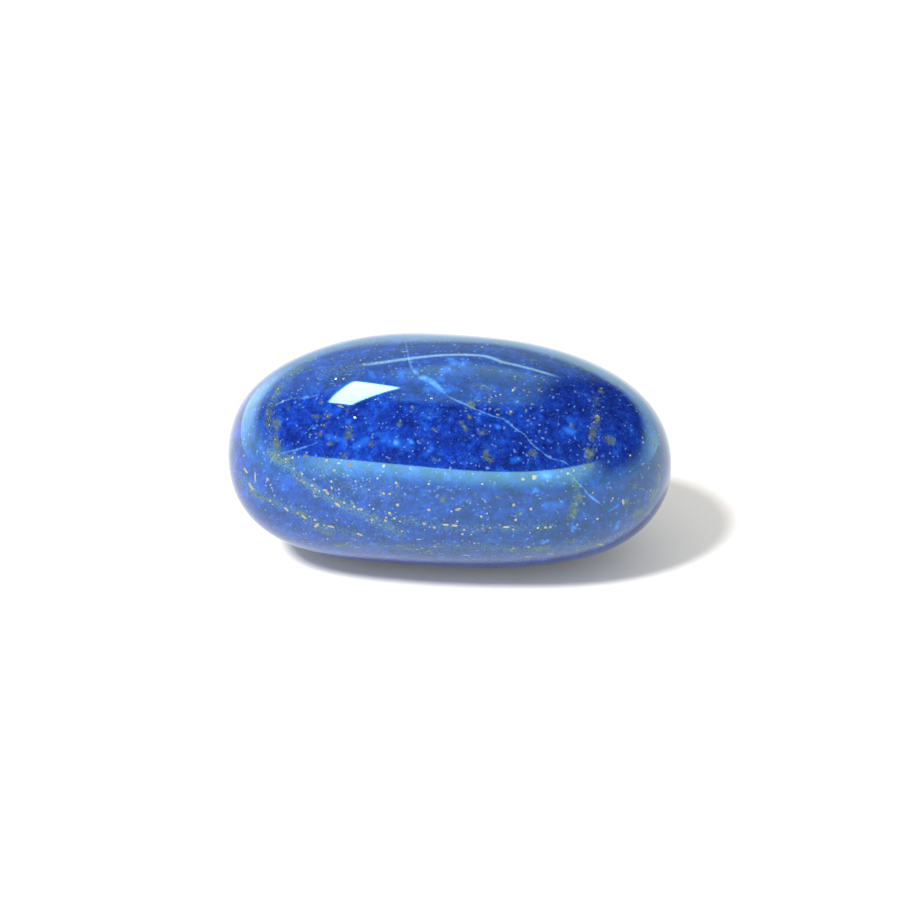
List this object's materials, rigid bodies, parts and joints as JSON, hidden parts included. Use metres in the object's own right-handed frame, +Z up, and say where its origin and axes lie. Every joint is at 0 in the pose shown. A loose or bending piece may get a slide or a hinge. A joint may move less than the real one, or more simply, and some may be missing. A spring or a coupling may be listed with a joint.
{
  "type": "lapis lazuli palm stone",
  "caption": "Polished long oval lapis lazuli palm stone, deep blue with pale veins and pyrite flecks, resting on a small flat spot.",
  "frame": {"origin": "on the plane of the small flat spot that the stone rests on, under the middle of its length and width", "axes": "+X along the stone, towards its slimmer end; +Y across it, away from the side that the picture shows; +Z up"},
  "size_m": [0.05, 0.031, 0.0253],
  "materials": {
    "polished_lapis": "polished deep blue lapis lazuli with azure clouds, a pale blue vein, grey-green patches and brassy pyrite flecks"
  },
  "bodies": {
    "root": {"lapis_lazuli": "polished_lapis"}
  },
  "joints": []
}
